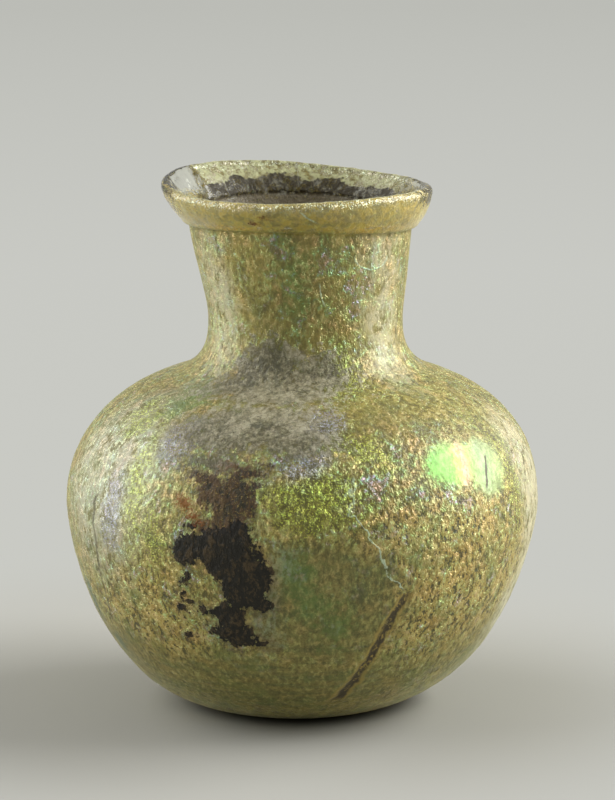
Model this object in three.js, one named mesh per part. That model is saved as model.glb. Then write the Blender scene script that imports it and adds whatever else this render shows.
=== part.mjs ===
// A free-blown glass jar with a squat round body, a hollow-curved neck and a folded, flaring rim.
// Millimetres, +Z up. The origin is under the middle of the belly, level with the ring it stands on.
import * as THREE from "three";

const { degToRad, lerp, smoothstep } = THREE.MathUtils;

// The base
const footRadius = 12.5; // outer edge of the flat ring under the jar
const footWidth = 3.4; // of that ring
const kickHeight = 1.5; // the middle of the base is pushed up this far
const kickShape = { top: 0.5, skirt: 0.67 }; // where its side starts and ends, in shares of its radius
const floorThickness = 2.8;
const undersideReach = 19.5; // how far the base spreads before it turns up into the side
const undersideRise = 2.2; // what it climbs on the way

// The body
const bellyRadius = 35.9;
const bellyHeight = 31.2;
const bodyWall = 1.9;
const lowerFullness = 3.6; // how far the side drops straight down from the belly
const upperFullness = 15.4; // how far it climbs straight up from the belly

// The neck
const rootRadius = 19.9; // where the shoulder turns up into the neck
const rootHeight = 51.1;
const rootSlope = degToRad(23); // of the shoulder there
const rootReach = 3.1; // how far the shoulder keeps near that slope
const rootTurn = 5.8; // how far the neck does
const waistRadius = 14.8; // the narrowest place
const waistHeight = 59.8;
const waistTurn = 2.6; // how far the neck runs straight below and above the waist
const neckTopRadius = 16.9; // just under the rim
const neckTopReach = 6; // length of the neck's last stretch
const neckFlare = 0.6; // how far that stretch leans out
const neckWall = 1.9;

// The rim: glass folded over into a collar that flares out
const collarHeight = 74.3; // its underside
const collarLedge = 0.9; // how far it stands out from the neck
const collarRound = 0.7; // rounding of its lower edge
const collarBulge = 0.3; // how far its face swells out
const lipRadius = 20.5;
const lipHeight = 80.1;
const lipRound = 0.85;
const foldDepth = 4; // the folded layer ends this far below the lip, inside
const foldSetBack = 0.5; // from the line of the neck's inner wall
const funnelBend = { across: 0.35, up: 0.6 }; // of the way from the fold's edge to the lip
const grooveDepth = 0.6; // of the groove under the fold's edge
const grooveWidth = 0.8;

// What the glassblower left uneven. Directions are angles from +X towards the back, +Y.
const bellyOval = 0.15; // the belly is wider by this along X, and narrower by it along Y
const footDrift = -1; // how far the jar's centre lies off the axis at the foot, along X
const lowerBodyDrift = -0.45;
const lowerBodyPlace = 0.34; // height of that, as a share of the belly's height
const bellyDrift = -0.1;
const shoulderDrift = 0.5;
const waistDrift = 0.45;
const collarDrift = -0.3;
const lipDrift = -0.9;
const collarWave = { lean: 0.35, leanTowards: degToRad(200), sag: 0.5, sagTowards: degToRad(90) };
const lipWave = { lean: 0.5, leanTowards: degToRad(150), sag: 0.55, sagTowards: degToRad(135) };

// How finely the curves are drawn. Each half of the body's side and of the neck has its own steps.
const segments = 72; // round the jar
const outerSteps = { body: 9, neck: 5 };
const innerSteps = { body: 6, neck: 4 };
const baseSteps = 3;
const cornerSteps = 2; // under the collar
const faceSteps = 2; // of the collar
const lipSteps = 4;
const foldSteps = 3;
const fineSteps = 120; // for measuring how a curve bends

const point = (radius, height) => new THREE.Vector2(radius, height);
const towards = (angle, length) => point(Math.cos(angle), Math.sin(angle)).multiplyScalar(length);
const curve = (...points) => new THREE.CubicBezierCurve(...points);
const line = (from, to) => [new THREE.LineCurve(from, to), 1];

// Points along a curve, after its start, that lie closer together where it bends more.
function drawn(shape, steps) {
  if (steps === 1) return [shape.getPoint(1)];
  const fine = shape.getPoints(fineSteps);
  const length = shape.getLength();
  const travelled = [0];
  for (let i = 1; i < fine.length; i++) {
    const step = fine[i].clone().sub(fine[i - 1]);
    const before = i > 1 ? fine[i - 1].clone().sub(fine[i - 2]) : step;
    const turned = Math.abs(before.cross(step)) / (before.length() * step.length());
    travelled.push(travelled[i - 1] + step.length() / length + turned);
  }
  const points = [];
  for (let k = 1; k < steps; k++) {
    const wanted = (travelled.at(-1) * k) / steps;
    const i = travelled.findIndex((far) => far >= wanted);
    const part = (wanted - travelled[i - 1]) / (travelled[i] - travelled[i - 1]);
    points.push(fine[i - 1].clone().lerp(fine[i], part));
  }
  return [...points, shape.getPoint(1)];
}

// Points along several curves that join end to end, each given with its number of steps.
function trace(stretches) {
  return [stretches[0][0].getPoint(0), ...stretches.flatMap(([shape, steps]) => drawn(shape, steps))];
}

// The pushed-up middle of the base, from the axis out to its edge.
function kickStretch(radius, edgeHeight) {
  const top = edgeHeight + kickHeight;
  const start = point(radius * kickShape.top, top);
  const end = point(radius * kickShape.skirt, edgeHeight);
  return [curve(point(0, top), start, end, point(radius, edgeHeight)), baseSteps];
}

// Under the jar, from the axis out to the edge of the foot: the pushed-up middle and the flat ring.
function baseStretches() {
  const ringInside = footRadius - footWidth;
  return [kickStretch(ringInside, 0), line(point(ringInside, 0), point(footRadius, 0))];
}

// The jar's side, from start to the top of the neck, bodyDepth and neckDepth inside the outer surface.
function sideStretches(start, bodyDepth, neckDepth, steps) {
  const bellySide = bellyRadius - bodyDepth;
  const waistSide = waistRadius - neckDepth;
  const neckTopSide = neckTopRadius - neckDepth;
  const upSlope = Math.PI - rootSlope;
  const belly = point(bellySide, bellyHeight);
  const root = point(rootRadius, rootHeight).add(towards(upSlope + Math.PI / 2, bodyDepth));
  const waist = point(waistSide, waistHeight);
  const neckTop = point(neckTopSide, collarHeight);

  const underBelly = point(bellySide, bellyHeight - lowerFullness);
  const overBelly = point(bellySide, bellyHeight + upperFullness);
  const spread = start.clone().add(point(undersideReach - bodyDepth / 2, undersideRise));
  const underRoot = root.clone().add(towards(upSlope, -rootReach));
  const overRoot = root.clone().add(towards(upSlope, rootTurn));
  const underWaist = point(waistSide, waistHeight - waistTurn);
  const overWaist = point(waistSide, waistHeight + waistTurn);
  const underTop = point(neckTopSide - neckFlare, collarHeight - neckTopReach);
  return [
    [curve(start, spread, underBelly, belly), steps.body],
    [curve(belly, overBelly, underRoot, root), steps.body],
    [curve(root, overRoot, underWaist, waist), steps.neck],
    [curve(waist, overWaist, underTop, neckTop), steps.neck],
  ];
}

// The rim, from the top of the neck outside to the top of the neck inside.
function rimStretches() {
  const neckTop = point(neckTopRadius, collarHeight);
  const corner = point(neckTopRadius + collarLedge, collarHeight);
  const lipCentre = point(lipRadius - lipRound, lipHeight - lipRound);
  const faceSlope = Math.atan2(lipCentre.y - corner.y, lipCentre.x - corner.x);
  const outwards = faceSlope - Math.PI / 2;
  const faceFoot = corner.clone().add(towards(faceSlope, collarRound));
  const faceHead = lipCentre.clone().add(towards(outwards, lipRound));
  const faceMiddle = faceFoot.clone().lerp(faceHead, 0.5).add(towards(outwards, collarBulge * 2));
  const lip = new THREE.EllipseCurve(
    lipCentre.x,
    lipCentre.y,
    lipRound,
    lipRound,
    outwards,
    outwards + Math.PI,
  );
  const neckInside = point(neckTopRadius - neckWall, collarHeight);
  const foldEdge = point(neckInside.x + foldSetBack, lipHeight - foldDepth);
  const funnelMiddle = point(
    lerp(foldEdge.x, lipCentre.x, funnelBend.across),
    lerp(foldEdge.y, lipHeight, funnelBend.up),
  );
  const groove = foldEdge.clone().add(point(grooveDepth, -grooveWidth / 2));
  const grooveFoot = point(foldEdge.x, foldEdge.y - grooveWidth);
  return [
    [new THREE.QuadraticBezierCurve(neckTop, corner, faceFoot), cornerSteps],
    [new THREE.QuadraticBezierCurve(faceFoot, faceMiddle, faceHead), faceSteps],
    [lip, lipSteps],
    [new THREE.QuadraticBezierCurve(lip.getPoint(1), funnelMiddle, foldEdge), foldSteps],
    line(foldEdge, groove),
    line(groove, grooveFoot),
    line(grooveFoot, neckInside),
  ];
}

// The same stretches, walked from their far end.
function backwards(stretches) {
  return stretches
    .map(([shape, steps]) => [curve(shape.v3, shape.v2, shape.v1, shape.v0), steps])
    .reverse();
}

// Moves of the glass at a height, in shares from 0 to 1 between two heights.
const share = (height, from, to) => smoothstep(height, from, to);

// How far the jar's centre lies off the axis at a height.
function driftAt(height) {
  const stations = [
    [0, footDrift],
    [bellyHeight * lowerBodyPlace, lowerBodyDrift],
    [bellyHeight, bellyDrift],
    [rootHeight, shoulderDrift],
    [waistHeight, waistDrift],
    [collarHeight, collarDrift],
    [lipHeight, lipDrift],
  ];
  let offset = footDrift;
  for (let i = 1; i < stations.length; i++) {
    const [from, start] = stations[i - 1];
    const [to, end] = stations[i];
    offset += (end - start) * share(height, from, to);
  }
  return offset;
}

// A rim that leans one way and sags on two opposite sides.
function waveAt(wave, angle) {
  const lean = wave.lean * Math.cos(angle - wave.leanTowards);
  return lean + wave.sag * Math.cos(2 * (angle - wave.sagTowards));
}

// Puts the unevenness into a perfectly round jar.
function unevenly(geometry) {
  const places = geometry.getAttribute("position");
  for (let i = 0; i < places.count; i++) {
    const [x, y, height] = [places.getX(i), places.getY(i), places.getZ(i)];
    const angle = Math.atan2(y, x);
    const nearBelly = share(height, 0, bellyHeight) * (1 - share(height, bellyHeight, rootHeight));
    const stretch = (bellyOval / bellyRadius) * nearBelly;
    const atCollar = share(height, waistHeight, collarHeight);
    const atLip = share(height, collarHeight, lipHeight);
    const wave = lerp(atCollar * waveAt(collarWave, angle), waveAt(lipWave, angle), atLip);
    places.setXYZ(i, x * (1 + stretch) + driftAt(height), y * (1 - stretch), height + wave);
  }
  geometry.computeVertexNormals();
  return geometry;
}

function jarGeometry() {
  const outside = [...baseStretches(), ...sideStretches(point(footRadius, 0), 0, 0, outerSteps)];
  const innerSide = sideStretches(point(footRadius, floorThickness), bodyWall, neckWall, innerSteps);
  const inside = [kickStretch(footRadius, floorThickness), ...innerSide];
  const profile = trace([...outside, ...rimStretches(), ...backwards(inside)]);
  return unevenly(new THREE.LatheGeometry(profile, segments).rotateX(Math.PI / 2));
}

const glass = new THREE.MeshStandardMaterial({ color: 0x8f8650, roughness: 0.4, metalness: 0.1 });
const jar = new THREE.Mesh(jarGeometry(), glass);
jar.name = "jar";

const model = new THREE.Group();
model.add(jar);
export default model;
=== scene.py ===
import math
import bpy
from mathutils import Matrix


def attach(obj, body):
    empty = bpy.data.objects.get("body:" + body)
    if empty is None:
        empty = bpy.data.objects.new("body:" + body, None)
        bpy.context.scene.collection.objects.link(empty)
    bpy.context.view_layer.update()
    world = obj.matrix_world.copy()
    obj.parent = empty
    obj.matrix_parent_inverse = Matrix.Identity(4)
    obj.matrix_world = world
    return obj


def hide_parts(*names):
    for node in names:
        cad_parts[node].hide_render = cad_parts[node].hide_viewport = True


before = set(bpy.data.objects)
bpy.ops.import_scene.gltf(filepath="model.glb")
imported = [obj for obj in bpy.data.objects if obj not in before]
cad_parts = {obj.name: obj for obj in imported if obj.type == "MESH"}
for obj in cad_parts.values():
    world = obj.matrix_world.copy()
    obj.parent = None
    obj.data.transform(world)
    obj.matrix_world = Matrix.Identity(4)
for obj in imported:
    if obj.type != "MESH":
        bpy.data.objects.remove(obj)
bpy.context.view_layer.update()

from types import SimpleNamespace

import bpy
import numpy as np
from mathutils import Matrix, Vector, noise

print("frame loaded")

mm = 0.001
frontOn = math.radians(-90)  # the side that faces the camera, counted from +X towards +Y


# Shader building. A Value is a socket that Python's arithmetic works on.
class Value:
    def __init__(self, shader, socket):
        self.shader, self.socket = shader, socket

    def __add__(self, other):
        return self.shader.maths("ADD", self, other)

    def __sub__(self, other):
        return self.shader.maths("SUBTRACT", self, other)

    def __rsub__(self, other):
        return self.shader.maths("SUBTRACT", other, self)

    def __mul__(self, other):
        return self.shader.maths("MULTIPLY", self, other)

    def __truediv__(self, other):
        return self.shader.maths("DIVIDE", self, other)

    def __abs__(self):
        return self.shader.maths("ABSOLUTE", self)

    __radd__, __rmul__ = __add__, __mul__


class Shader:
    def __init__(self, owner):
        owner.use_nodes = True
        self.tree = owner.node_tree
        self.tree.nodes.clear()

    # Any node: its type, its settings, which are set first, and its sockets' values or links
    def add(self, kind, settings=None, sockets=None, output=None):
        node = self.tree.nodes.new("ShaderNode" + kind)
        settings = dict(settings or {})
        stops = settings.pop("stops", ())
        for name, setting in settings.items():
            setattr(node, name, setting)
        for count, (position, colour) in enumerate(stops):
            ramp = node.color_ramp.elements
            element = ramp[count] if count < len(ramp) else ramp.new(1)
            element.position = position
            element.color = (*colour, 1)
        for name, value in (sockets or {}).items():
            socket = self.named(node.inputs, name)
            if isinstance(value, Value):
                self.tree.links.new(value.socket, socket)
            elif isinstance(value, tuple) and len(value) == 3 and len(socket.default_value) == 4:
                socket.default_value = (*value, 1)
            else:
                socket.default_value = value
        if any(s.enabled for s in node.outputs):
            return Value(self, self.named(node.outputs, output))

    # A socket by its name or its number, or else the first one in use
    def named(self, sockets, name):
        if isinstance(name, int):
            return sockets[name]
        return next(s for s in sockets if s.enabled and name in (None, s.name))

    def maths(self, operation, *values):
        return self.add("Math", {"operation": operation}, dict(enumerate(values)))

    def vector(self, operation, *values):
        return self.add("VectorMath", {"operation": operation}, dict(enumerate(values)))

    def mix(self, factor, one, other):
        return self.add("Mix", {"data_type": "RGBA"}, {"Factor": factor, "A": one, "B": other})

    def ramp(self, value, *stops):
        return self.add("ValToRGB", {"stops": stops}, {"Fac": value})

    # 0 below low, 1 above high, and smooth between
    def rise(self, value, low, high):
        settings = {"interpolation_type": "SMOOTHSTEP"}
        return self.add("MapRange", settings, {"Value": value, "From Min": low, "From Max": high})

    # Noise about 0.5, with so many forms per millimetre
    def clouds(self, place, perMm, seed, detail=4, roughness=0.6, distortion=0, stretch=None):
        if stretch:
            place = self.vector("MULTIPLY", place, stretch)
        moved = self.vector("ADD", place, (seed * 7.3, seed * 3.1, seed * 5.7))
        sockets = {"Vector": moved, "Scale": perMm, "Detail": detail}
        return self.add("TexNoise", None, sockets | {"Roughness": roughness, "Distortion": distortion})

    def marked(self, name):
        return self.add("Attribute", {"attribute_name": name}, output="Fac")

    def finish(self, surface, output="OutputMaterial"):
        self.add(output, None, {"Surface": surface})


# A colour as a picture's red, green and blue, turned into the linear light that shaders use
def paint(*picture):
    return tuple(((c / 255 + 0.055) / 1.055) ** 2.4 if c > 10 else c / 255 / 12.92 for c in picture)


# 0 below low, 1 above high, and smooth between, for numbers
def smooth(value, low, high):
    t = np.clip((value - low) / (high - low), 0, 1)
    return t * t * (3 - 2 * t)


# An angle as it is seen from another, from half a turn back to half a turn on
def turnedFrom(angle, other):
    return (angle - other + math.pi) % (2 * math.pi) - math.pi


def linked(name, data):
    thing = bpy.data.objects.new(name, data)
    bpy.context.scene.collection.objects.link(thing)
    return thing


# The jar's form, in millimetres and degrees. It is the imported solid's, drawn finely.
jarForm = {
    "footRadius": 12.5,
    "footWidth": 3.4,
    "kickHeight": 1.5,
    "kickTop": 0.5,
    "kickSkirt": 0.67,
    "floorThickness": 2.8,
    "undersideReach": 19.5,
    "undersideRise": 2.2,
    "bellyRadius": 35.9,
    "bellyHeight": 31.2,
    "bodyWall": 1.9,
    "lowerFullness": 3.6,
    "upperFullness": 15.4,
    "rootRadius": 19.9,
    "rootHeight": 51.1,
    "rootSlope": 23,
    "rootReach": 3.1,
    "rootTurn": 5.8,
    "waistRadius": 14.8,
    "waistHeight": 59.8,
    "waistTurn": 2.6,
    "neckTopRadius": 16.9,
    "neckTopReach": 6,
    "neckFlare": 0.6,
    "neckWall": 1.9,
    "collarHeight": 74.3,
    "collarLedge": 0.9,
    "collarRound": 0.7,
    "collarBulge": 0.3,
    "lipRadius": 20.5,
    "lipHeight": 80.1,
    "lipRound": 0.85,
    "foldDepth": 4,
    "foldSetBack": 0.5,
    "funnelBend": (0.35, 0.6),
    "grooveDepth": 0.6,
    "grooveWidth": 0.8,
    "bellyOval": 0.15,
    # how far the centre lies off the axis, from the foot up, and where the second place is, as a
    # share of the belly's height
    "drift": {
        "foot": -1,
        "low": -0.45,
        "belly": -0.1,
        "shoulder": 0.5,
        "waist": 0.45,
        "collar": -0.3,
        "lip": -0.9,
    },
    "lowPlace": 0.34,
    "collarWave": {"lean": 0.35, "leanTowards": 200, "sag": 0.5, "sagTowards": 90},
    "lipWave": {"lean": 0.5, "leanTowards": 150, "sag": 0.55, "sagTowards": 135},
    # how finely it is drawn
    "segments": 360,
    "outerSpacing": 0.62,
    "innerSpacing": 2.2,
    "rimSpacing": 0.33,
    "baseSpacing": 1.1,
    "lipSteps": 12,
}


# Points about spacing apart along a Bezier curve, without its start
def curvePoints(controls, spacing):
    fineSteps = 200  # for measuring its length
    controls = np.array(controls, float)
    t = np.linspace(0, 1, fineSteps)[:, None, None]
    level = np.repeat(controls[None], len(t), 0)
    while level.shape[1] > 1:
        level = level[:, :-1] * (1 - t) + level[:, 1:] * t
    fine = level[:, 0]
    travelled = np.r_[0, np.cumsum(np.linalg.norm(np.diff(fine, axis=0), axis=1))]
    steps = max(1, round(travelled[-1] / spacing))
    wanted = np.linspace(0, travelled[-1], steps + 1)[1:]
    return np.column_stack([np.interp(wanted, travelled, fine[:, k]) for k in (0, 1)])


# The jar's side in four curves, a wall's depth inside the outer surface
def sideCurves(form, startHeight, bodyDepth, neckDepth):
    f = form
    slope = math.radians(180 - f["rootSlope"])
    up = np.array([math.cos(slope), math.sin(slope)])
    inwards = np.array([-up[1], up[0]])
    start = np.array([f["footRadius"], startHeight])
    belly = np.array([f["bellyRadius"] - bodyDepth, f["bellyHeight"]])
    root = np.array([f["rootRadius"], f["rootHeight"]]) + inwards * bodyDepth
    waist = np.array([f["waistRadius"] - neckDepth, f["waistHeight"]])
    top = np.array([f["neckTopRadius"] - neckDepth, f["collarHeight"]])
    spread = start + (f["undersideReach"] - bodyDepth / 2, f["undersideRise"])
    return [
        [start, spread, belly - (0, f["lowerFullness"]), belly],
        [belly, belly + (0, f["upperFullness"]), root - up * f["rootReach"], root],
        [root, root + up * f["rootTurn"], waist - (0, f["waistTurn"]), waist],
        [waist, waist + (0, f["waistTurn"]), top - (f["neckFlare"], f["neckTopReach"]), top],
    ]


# The base's pushed-up middle
def kickCurve(form, radius, edgeHeight):
    top = edgeHeight + form["kickHeight"]
    skirt = (radius * form["kickSkirt"], edgeHeight)
    return [(0, top), (radius * form["kickTop"], top), skirt, (radius, edgeHeight)]


# The rim from the neck's top outside to the top of the lip, and from there to the neck's top inside
def rimPoints(form):
    f = form
    neckTop = np.array([f["neckTopRadius"], f["collarHeight"]])
    corner = neckTop + (f["collarLedge"], 0)
    centre = np.array([f["lipRadius"], f["lipHeight"]]) - f["lipRound"]
    slope = math.atan2(*(centre - corner)[::-1])
    along = np.array([math.cos(slope), math.sin(slope)])
    outwards = np.array([along[1], -along[0]])
    faceFoot = corner + along * f["collarRound"]
    faceHead = centre + outwards * f["lipRound"]
    bulge = (faceFoot + faceHead) / 2 + outwards * f["collarBulge"] * 2
    half = f["lipSteps"] // 2
    turn = np.linspace(slope - math.pi / 2, slope + math.pi / 2, f["lipSteps"] + 1)[1:, None]
    lip = centre + f["lipRound"] * np.hstack([np.cos(turn), np.sin(turn)])
    inside = neckTop - (f["neckWall"], 0)
    edge = np.array([inside[0] + f["foldSetBack"], f["lipHeight"] - f["foldDepth"]])
    across, up = f["funnelBend"]
    bend = (edge[0] + (centre[0] - edge[0]) * across, edge[1] + (f["lipHeight"] - edge[1]) * up)
    groove = edge + (f["grooveDepth"], -f["grooveWidth"] / 2)
    grooveFoot = edge - (0, f["grooveWidth"])
    fine = f["rimSpacing"]
    outside = [
        curvePoints([neckTop, corner, faceFoot], fine),
        curvePoints([faceFoot, bulge, faceHead], fine),
        lip[:half],
    ]
    within = [
        lip[half:],
        curvePoints([lip[-1], bend, edge], fine),
        curvePoints([edge, groove, grooveFoot], fine),
        curvePoints([grooveFoot, inside], fine),
    ]
    return np.vstack(outside), np.vstack(within)


# The profile: from the axis under the jar to the lip, and from there to the axis on its floor inside
def profileOf(form):
    f = form
    outerGap, innerGap = f["outerSpacing"], f["innerSpacing"]
    ring = [(f["footRadius"] - f["footWidth"], 0), (f["footRadius"], 0)]
    outer = [curvePoints(base, f["baseSpacing"]) for base in (kickCurve(f, ring[0][0], 0), ring)]
    outer += [curvePoints(c, outerGap) for c in sideCurves(f, 0, 0, 0)]
    innerSide = sideCurves(f, f["floorThickness"], f["bodyWall"], f["neckWall"])
    inner = [curvePoints(c[::-1], innerGap) for c in innerSide[::-1]]
    inner += [curvePoints(kickCurve(f, f["footRadius"], f["floorThickness"])[::-1], innerGap)[:-1]]
    rimOutside, rimWithin = rimPoints(f)
    return np.vstack([*outer, rimOutside]), np.vstack([rimWithin, *inner])


# A rim's height round the jar: it leans one way and sags on two opposite sides
def waveOf(wave, angle):
    lean = wave["lean"] * np.cos(angle - math.radians(wave["leanTowards"]))
    return lean + wave["sag"] * np.cos(2 * (angle - math.radians(wave["sagTowards"])))


# The glassblower's unevenness, put into points of a perfectly round jar
def uneven(form, points):
    f = form
    x, y, height = points.T
    angle = np.arctan2(y, x)
    stations = [0, f["bellyHeight"] * f["lowPlace"], f["bellyHeight"], f["rootHeight"], f["waistHeight"]]
    stations += [f["collarHeight"], f["lipHeight"]]
    offsets = list(f["drift"].values())
    move = np.full(len(points), float(offsets[0]))
    for i in range(1, len(stations)):
        move += (offsets[i] - offsets[i - 1]) * smooth(height, stations[i - 1], stations[i])
    nearBelly = smooth(height, 0, f["bellyHeight"])
    nearBelly = nearBelly * (1 - smooth(height, f["bellyHeight"], f["rootHeight"]))
    stretch = f["bellyOval"] / f["bellyRadius"] * nearBelly
    atCollar = smooth(height, f["waistHeight"], f["collarHeight"])
    atLip = smooth(height, f["collarHeight"], f["lipHeight"])
    wave = atCollar * waveOf(f["collarWave"], angle) * (1 - atLip) + waveOf(f["lipWave"], angle) * atLip
    return np.column_stack([x * (1 + stretch) + move, y * (1 - stretch), height + wave])


# Smooth noise from about -1 to 1 at many points, with forms of about size millimetres
def noiseAt(points, size, octaves, seed):
    fading, finer = 0.9, 2.1  # from one octave to the next
    offset = np.array([17.3, 5.1, 9.7]) * (seed + 1)
    return np.array([noise.fractal(p, fading, finer, octaves) for p in points / size + offset])


# What lies on the jar's skin, and painted light and shade. An angle is counted from the front towards the
# right, in degrees, and a height, half width and half height are in millimetres: [angle, height,
# halfWidth, halfHeight, tilt].
skinMarks = {
    "crust": [
        [-19.0, 31.4, 5.4, 2.9, 0],
        [-27.2, 30.8, 3.0, 2.4, 25],
        [-13.4, 26.4, 3.6, 5.0, -14],
        [-18.6, 28.2, 2.6, 2.0, 0],
        [-9.6, 22.8, 1.6, 1.2, 0],
        [-21.6, 21.4, 2.6, 0.8, 8],
        [-18.0, 20.8, 2.3, 2.2, 0],
        [-17.0, 17.8, 3.4, 2.0, -12],
        [-12.6, 16.8, 1.7, 0.8, -20],
        [-15.0, 34.2, 1.7, 1.6, 0],
        [-29.6, 25.6, 0.5, 0.6, 0],
        [-28.2, 26.6, 0.35, 0.4, 0],
        [-30.2, 23.6, 0.6, 0.5, 0],
        [-31.0, 21.6, 0.6, 0.45, 30],
        [-28.4, 22.4, 0.45, 0.4, 0],
        [-30.6, 16.9, 0.7, 0.5, 0],
        [-26.6, 34.4, 0.8, 0.6, 0],
    ],
    "brown": [
        [-23.4, 39.4, 2.3, 2.6, 10],
        [-17.0, 38.2, 3.6, 3.8, -25],
        [-20.0, 34.4, 3.4, 1.6, 0],
        [-15.6, 41.6, 3.2, 1.4, 20],
        [-26.8, 41.0, 1.2, 1.0, 0],
    ],
    "rust": [
        [-29.4, 37.3, 1.7, 1.0, -35],
        [-26.8, 35.6, 1.3, 0.6, -35],
        [-20.4, 76.2, 0.7, 0.5, -25],
        [-15.0, 77.7, 0.6, 0.25, -20],
    ],
    "tawny": [
        [-19.0, 43.0, 3.4, 1.0, 18],
        [-22.0, 34.4, 2.6, 1.3, -20],
        [-26.4, 37.0, 1.0, 3.0, 15],
    ],
    "film": [
        [-18.0, 48.0, 11.0, 5.4, 15],
        [-14.0, 51.6, 9.5, 5.0, 0],
        [-36.0, 51.6, 6.0, 3.0, 15],
        [-4.0, 46.6, 7.0, 4.0, -15],
        [-20.0, 54.0, 7.0, 4.8, 0],
        [4.0, 53.4, 6.0, 4.0, 0],
        [-24.0, 43.0, 6.0, 1.8, 0],
    ],
    "haze": [
        [-6.2, 28.0, 1.5, 7.0, -8],
        [-8.4, 18.6, 2.0, 3.4, 0],
        [-21.4, 18.6, 1.3, 1.6, 0],
        [-9.0, 35.6, 1.6, 3.0, 0],
    ],
    "violet": [
        [5.0, 48.4, 3.4, 3.2, 0],
        [-2.0, 43.2, 3.0, 1.6, 20],
        [-38.0, 45.6, 2.4, 3.4, 0],
        [-52.0, 34.0, 2.0, 5.0, 0],
    ],
    "lime": [
        [-45.5, 38.5, 2.3, 7.6, 6],
        [-38.0, 33.0, 1.2, 4.0, 0],
        [1.5, 38.0, 7.4, 4.6, 0],
        [20.0, 53.0, 3.0, 3.6, 0],
        [12.0, 46.0, 5.0, 2.0, -25],
        [62.0, 39.5, 1.7, 7.0, 8],
        [-58.0, 47.0, 3.0, 3.0, 0],
    ],
    "glaze": [
        [42.5, 41.9, 6.0, 3.6, 0],
        [53.0, 40.6, 4.4, 4.6, 0],
    ],
    "dull": [
        [5.0, 22.0, 13.0, 11.5, 0],
        [-8.0, 9.0, 22.0, 6.5, 0],
        [-95.0, 10.0, 34.0, 7.0, 0],
        [110.0, 12.0, 34.0, 8.0, 0],
        [180.0, 14.0, 34.0, 10.0, 0],
    ],
    # painted shade: the front of the shoulder and the neck's middle made darker
    "shoulder": [
        [12.0, 45.0, 15.0, 8.0, 0],
        [0.0, 66.0, 4.6, 8.6, 0],
        [-46.0, 50.0, 9.0, 7.0, 0],
    ],
    "moss": [
        [-1.0, 26.0, 2.6, 4.2, 0],
        [9.0, 19.0, 2.4, 3.0, 20],
        [-46.0, 50.0, 3.6, 4.6, 12],
        [-4.0, 68.0, 2.0, 4.0, 0],
        [120.0, 30.0, 8.0, 9.0, 0],
        [-170.0, 40.0, 7.0, 6.0, 0],
    ],
    # painted light: the sides of the body and neck that face the lamps, laid paler
    "chalk": [
        [78.0, 33.0, 6.6, 15.0, 8],
        [72.0, 17.0, 3.0, 5.0, 0],
        [50.0, 61.0, 3.4, 8.0, 0],
        [46.0, 71.0, 3.0, 3.0, 0],
        [-56.0, 62.0, 3.4, 9.0, 0],
        [-104.0, 34.0, 8.0, 10.0, 0],
    ],
    "calm": [
        [40.0, 48.6, 13.0, 5.0, 0],
        [68.0, 44.0, 7.0, 7.0, 0],
        [78.0, 32.0, 7.0, 14.0, 0],
        [45.0, 57.0, 5.0, 5.0, 0],
        [-30.0, 62.0, 4.0, 8.0, 0],
        [-150.0, 46.0, 12.0, 6.0, 0],
        [130.0, 20.0, 12.0, 7.0, 0],
    ],
    # painted light: a golden glow of light through the glass along the collar's lower edge
    "gold": [
        [37.0, 75.2, 6.0, 0.7, 0],
        [-32.0, 75.1, 4.0, 0.5, 0],
    ],
    "loop": [
        [40.0, 71.0, 3.2, 2.2, 0],
    ],
    # painted shade, tinted green, at the lower left edge
    "greenEdge": [
        [-73.0, 17.5, 1.8, 4.5, 10],
        [-66.0, 12.0, 2.0, 2.0, 0],
    ],
    "silver": [
        [-58.0, 40.0, 11.0, 15.0, 0],
        [152.0, 37.0, 9.0, 7.0, 0],
    ],
    "tan": [
        [42.0, 28.0, 19.0, 17.0, 0],
        [-42.0, 17.0, 13.0, 10.0, 0],
        [-140.0, 30.0, 22.0, 15.0, 0],
    ],
}

# Lines on the skin, each a few [angle, height] places that it passes
skinLines = {
    "scar": [[26.8, 24.6], [24.2, 21.4], [21.4, 17.6], [19.6, 14.0], [16.8, 9.6], [12.2, 5.6]],
    "crack": [
        [12.4, 42.0], [11.9, 39.0], [11.6, 36.4], [14.8, 34.2], [16.8, 32.4], [19.4, 29.6], [23.9, 24.3],
    ],
    "scratch": [[54.4, 42.6], [52.0, 40.0], [50.4, 37.2]],
    "thread": [[0.6, 79.2], [3.4, 77.6], [7.2, 76.6], [9.4, 76.1]],
    "neckThread": [[8.3, 67.2], [9.2, 65.4], [11.5, 63.2]],
    "seam": [[-59.2, 36.5], [-59.6, 33.5], [-59.6, 25.7], [-60.7, 19.0], [-62.0, 15.0]],
}


# Points of the jar's skin before its relief, in rows along the profile and columns round the axis
def jarGrid(form):
    outside, inside = profileOf(form)
    profile = np.vstack([outside, inside])
    rows, columns = len(profile), form["segments"]
    theta = np.tile(np.arange(columns) * 2 * math.pi / columns + math.pi / columns, rows)
    radius, height = np.repeat(profile, columns, axis=0).T
    evenPoints = np.column_stack([radius * np.cos(theta), radius * np.sin(theta), height])
    along = np.r_[0, np.cumsum(np.linalg.norm(np.diff(profile, axis=0), axis=1))]
    side = np.arange(len(outside)) > np.argmax(outside[:, 0] >= form["footRadius"])
    sideRadius, sideHeight = outside[side].T
    sideAlong = along[: len(outside)][side]
    return SimpleNamespace(
        rows=rows,
        columns=columns,
        points=uneven(form, evenPoints),
        radius=radius,
        height=height,
        angle=turnedFrom(theta, frontOn),
        along=np.repeat(along, columns),
        isOuter=np.repeat(np.arange(rows) < len(outside), columns),
        radiusAt=lambda z: np.interp(z, sideHeight, sideRadius),
        alongAt=lambda z: np.interp(z, sideHeight, sideAlong),
    )


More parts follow.
